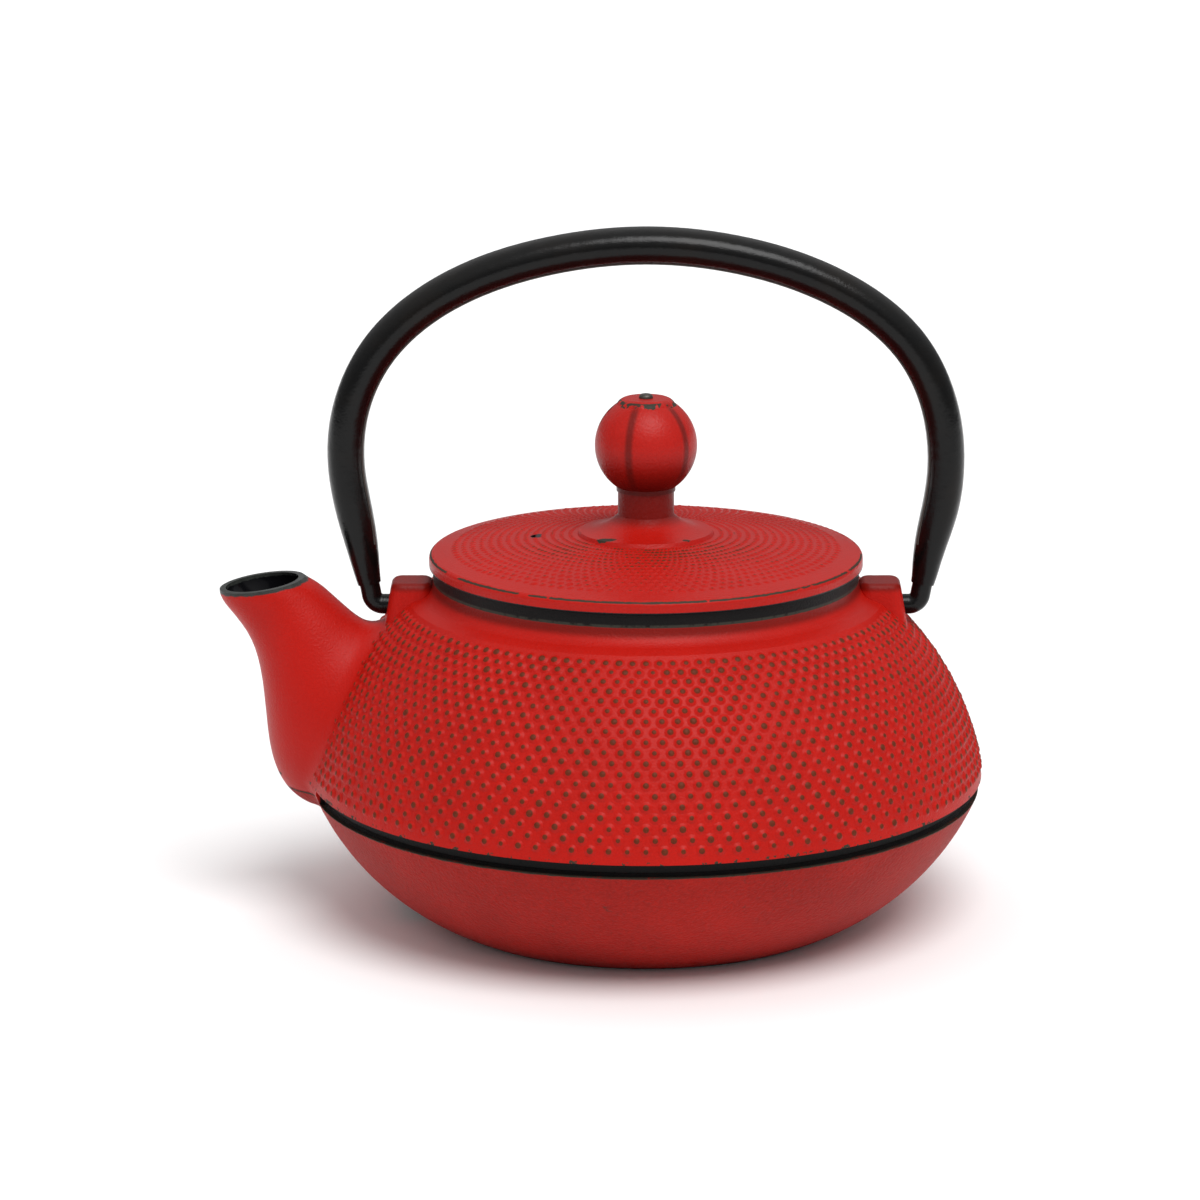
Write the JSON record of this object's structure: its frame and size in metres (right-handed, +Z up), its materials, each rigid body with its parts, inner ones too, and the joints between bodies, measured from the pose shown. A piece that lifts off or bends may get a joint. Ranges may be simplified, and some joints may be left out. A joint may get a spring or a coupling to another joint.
{
  "type": "cast-iron teapot",
  "caption": "Low round cast-iron teapot with a raised-dot shell, gooseneck spout, swinging bail handle, round-knobbed lift-off lid and lift-out infuser basket.",
  "frame": {"origin": "centre of the flat base, on the pot's axis", "axes": "+Z up along the pot's axis, spout towards -X, the handle arch stands in the XZ plane, +Y is away from the side first seen"},
  "size_m": [0.1639, 0.145, 0.1496],
  "materials": {
    "painted_iron": "red paint rubbed back over black iron, satin",
    "knob_paint": "satin red paint with worn edges",
    "rivet_steel": "dark plain steel",
    "handle_black": "satin black enamel on steel",
    "basket_steel": "stainless steel, satin",
    "basket_mesh": "fine stainless mesh"
  },
  "bodies": {
    "pot": {"pot_casting": "painted_iron"},
    "handle": {"handle_tube": "handle_black", "handle_pin_spout_side": "handle_black", "handle_pin_far_side": "handle_black"},
    "infuser": {"infuser_rim": "basket_steel", "infuser_wall": "basket_mesh", "infuser_floor": "basket_mesh", "infuser_base_ring": "basket_steel"},
    "lid": {"lid_casting": "painted_iron", "lid_knob": "knob_paint", "knob_cap": "knob_paint", "knob_rivet": "rivet_steel", "rivet_washer": "rivet_steel"}
  },
  "joints": [
    {"name": "handle_swing", "type": "hinge", "parent": "pot", "child": "handle", "pos_m": [0, 0, 0.068], "axis": [1, 0, 0], "range_deg": [-104, 104]},
    {"name": "infuser_lift", "type": "slide", "parent": "pot", "child": "infuser", "axis": [0, 0, 1], "range_m": [0, 0.013]},
    {"name": "lid_lift", "type": "slide", "parent": "infuser", "child": "lid", "axis": [0, 0, 1], "range_m": [0, 0.0135]}
  ]
}
